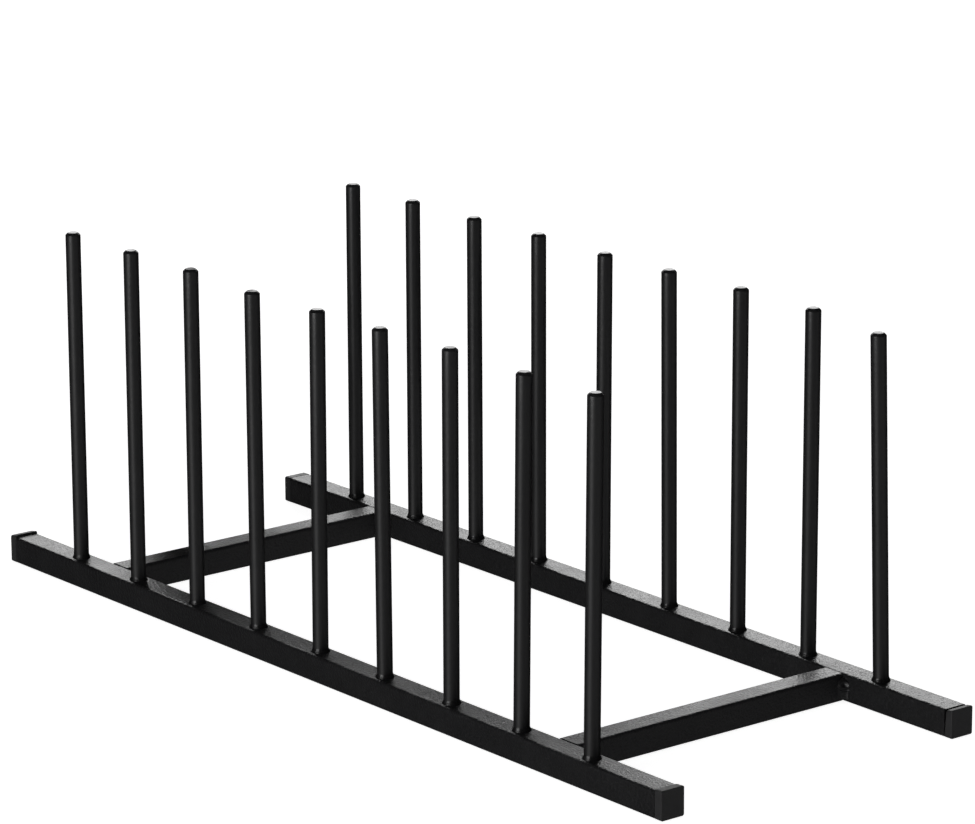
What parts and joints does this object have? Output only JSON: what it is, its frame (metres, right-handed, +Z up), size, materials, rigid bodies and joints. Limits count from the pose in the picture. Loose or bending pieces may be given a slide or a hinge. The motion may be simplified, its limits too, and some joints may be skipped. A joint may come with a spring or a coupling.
{
  "type": "pot lid rack",
  "caption": "Free-standing rack of square tube with two rows of upright rods that hold plates or pot lids on edge.",
  "frame": {"origin": "on the ground under the middle of the rack", "axes": "+X along the rails, +Y from the near rail to the far rail, +Z up along the rods"},
  "size_m": [0.4528, 0.1664, 0.1608],
  "materials": {
    "powder_coated_steel": "satin black powder coat",
    "cap_plastic": "black moulded polyethylene, fine satin"
  },
  "bodies": {
    "root": {"near_rail": "powder_coated_steel", "near_rod_1": "powder_coated_steel", "near_rod_2": "powder_coated_steel", "near_rod_3": "powder_coated_steel", "near_rod_4": "powder_coated_steel", "near_rod_5": "powder_coated_steel", "near_rod_6": "powder_coated_steel", "near_rod_7": "powder_coated_steel", "near_rod_8": "powder_coated_steel", "near_rod_9": "powder_coated_steel", "far_rail": "powder_coated_steel", "far_rod_1": "powder_coated_steel", "far_rod_2": "powder_coated_steel", "far_rod_3": "powder_coated_steel", "far_rod_4": "powder_coated_steel", "far_rod_5": "powder_coated_steel", "far_rod_6": "powder_coated_steel", "far_rod_7": "powder_coated_steel", "far_rod_8": "powder_coated_steel", "far_rod_9": "powder_coated_steel", "left_crossbar": "powder_coated_steel", "right_crossbar": "powder_coated_steel", "left_crossbar_welds": "powder_coated_steel", "right_crossbar_welds": "powder_coated_steel", "near_left_end_cap": "cap_plastic", "near_right_end_cap": "cap_plastic", "far_left_end_cap": "cap_plastic", "far_right_end_cap": "cap_plastic"}
  },
  "joints": []
}
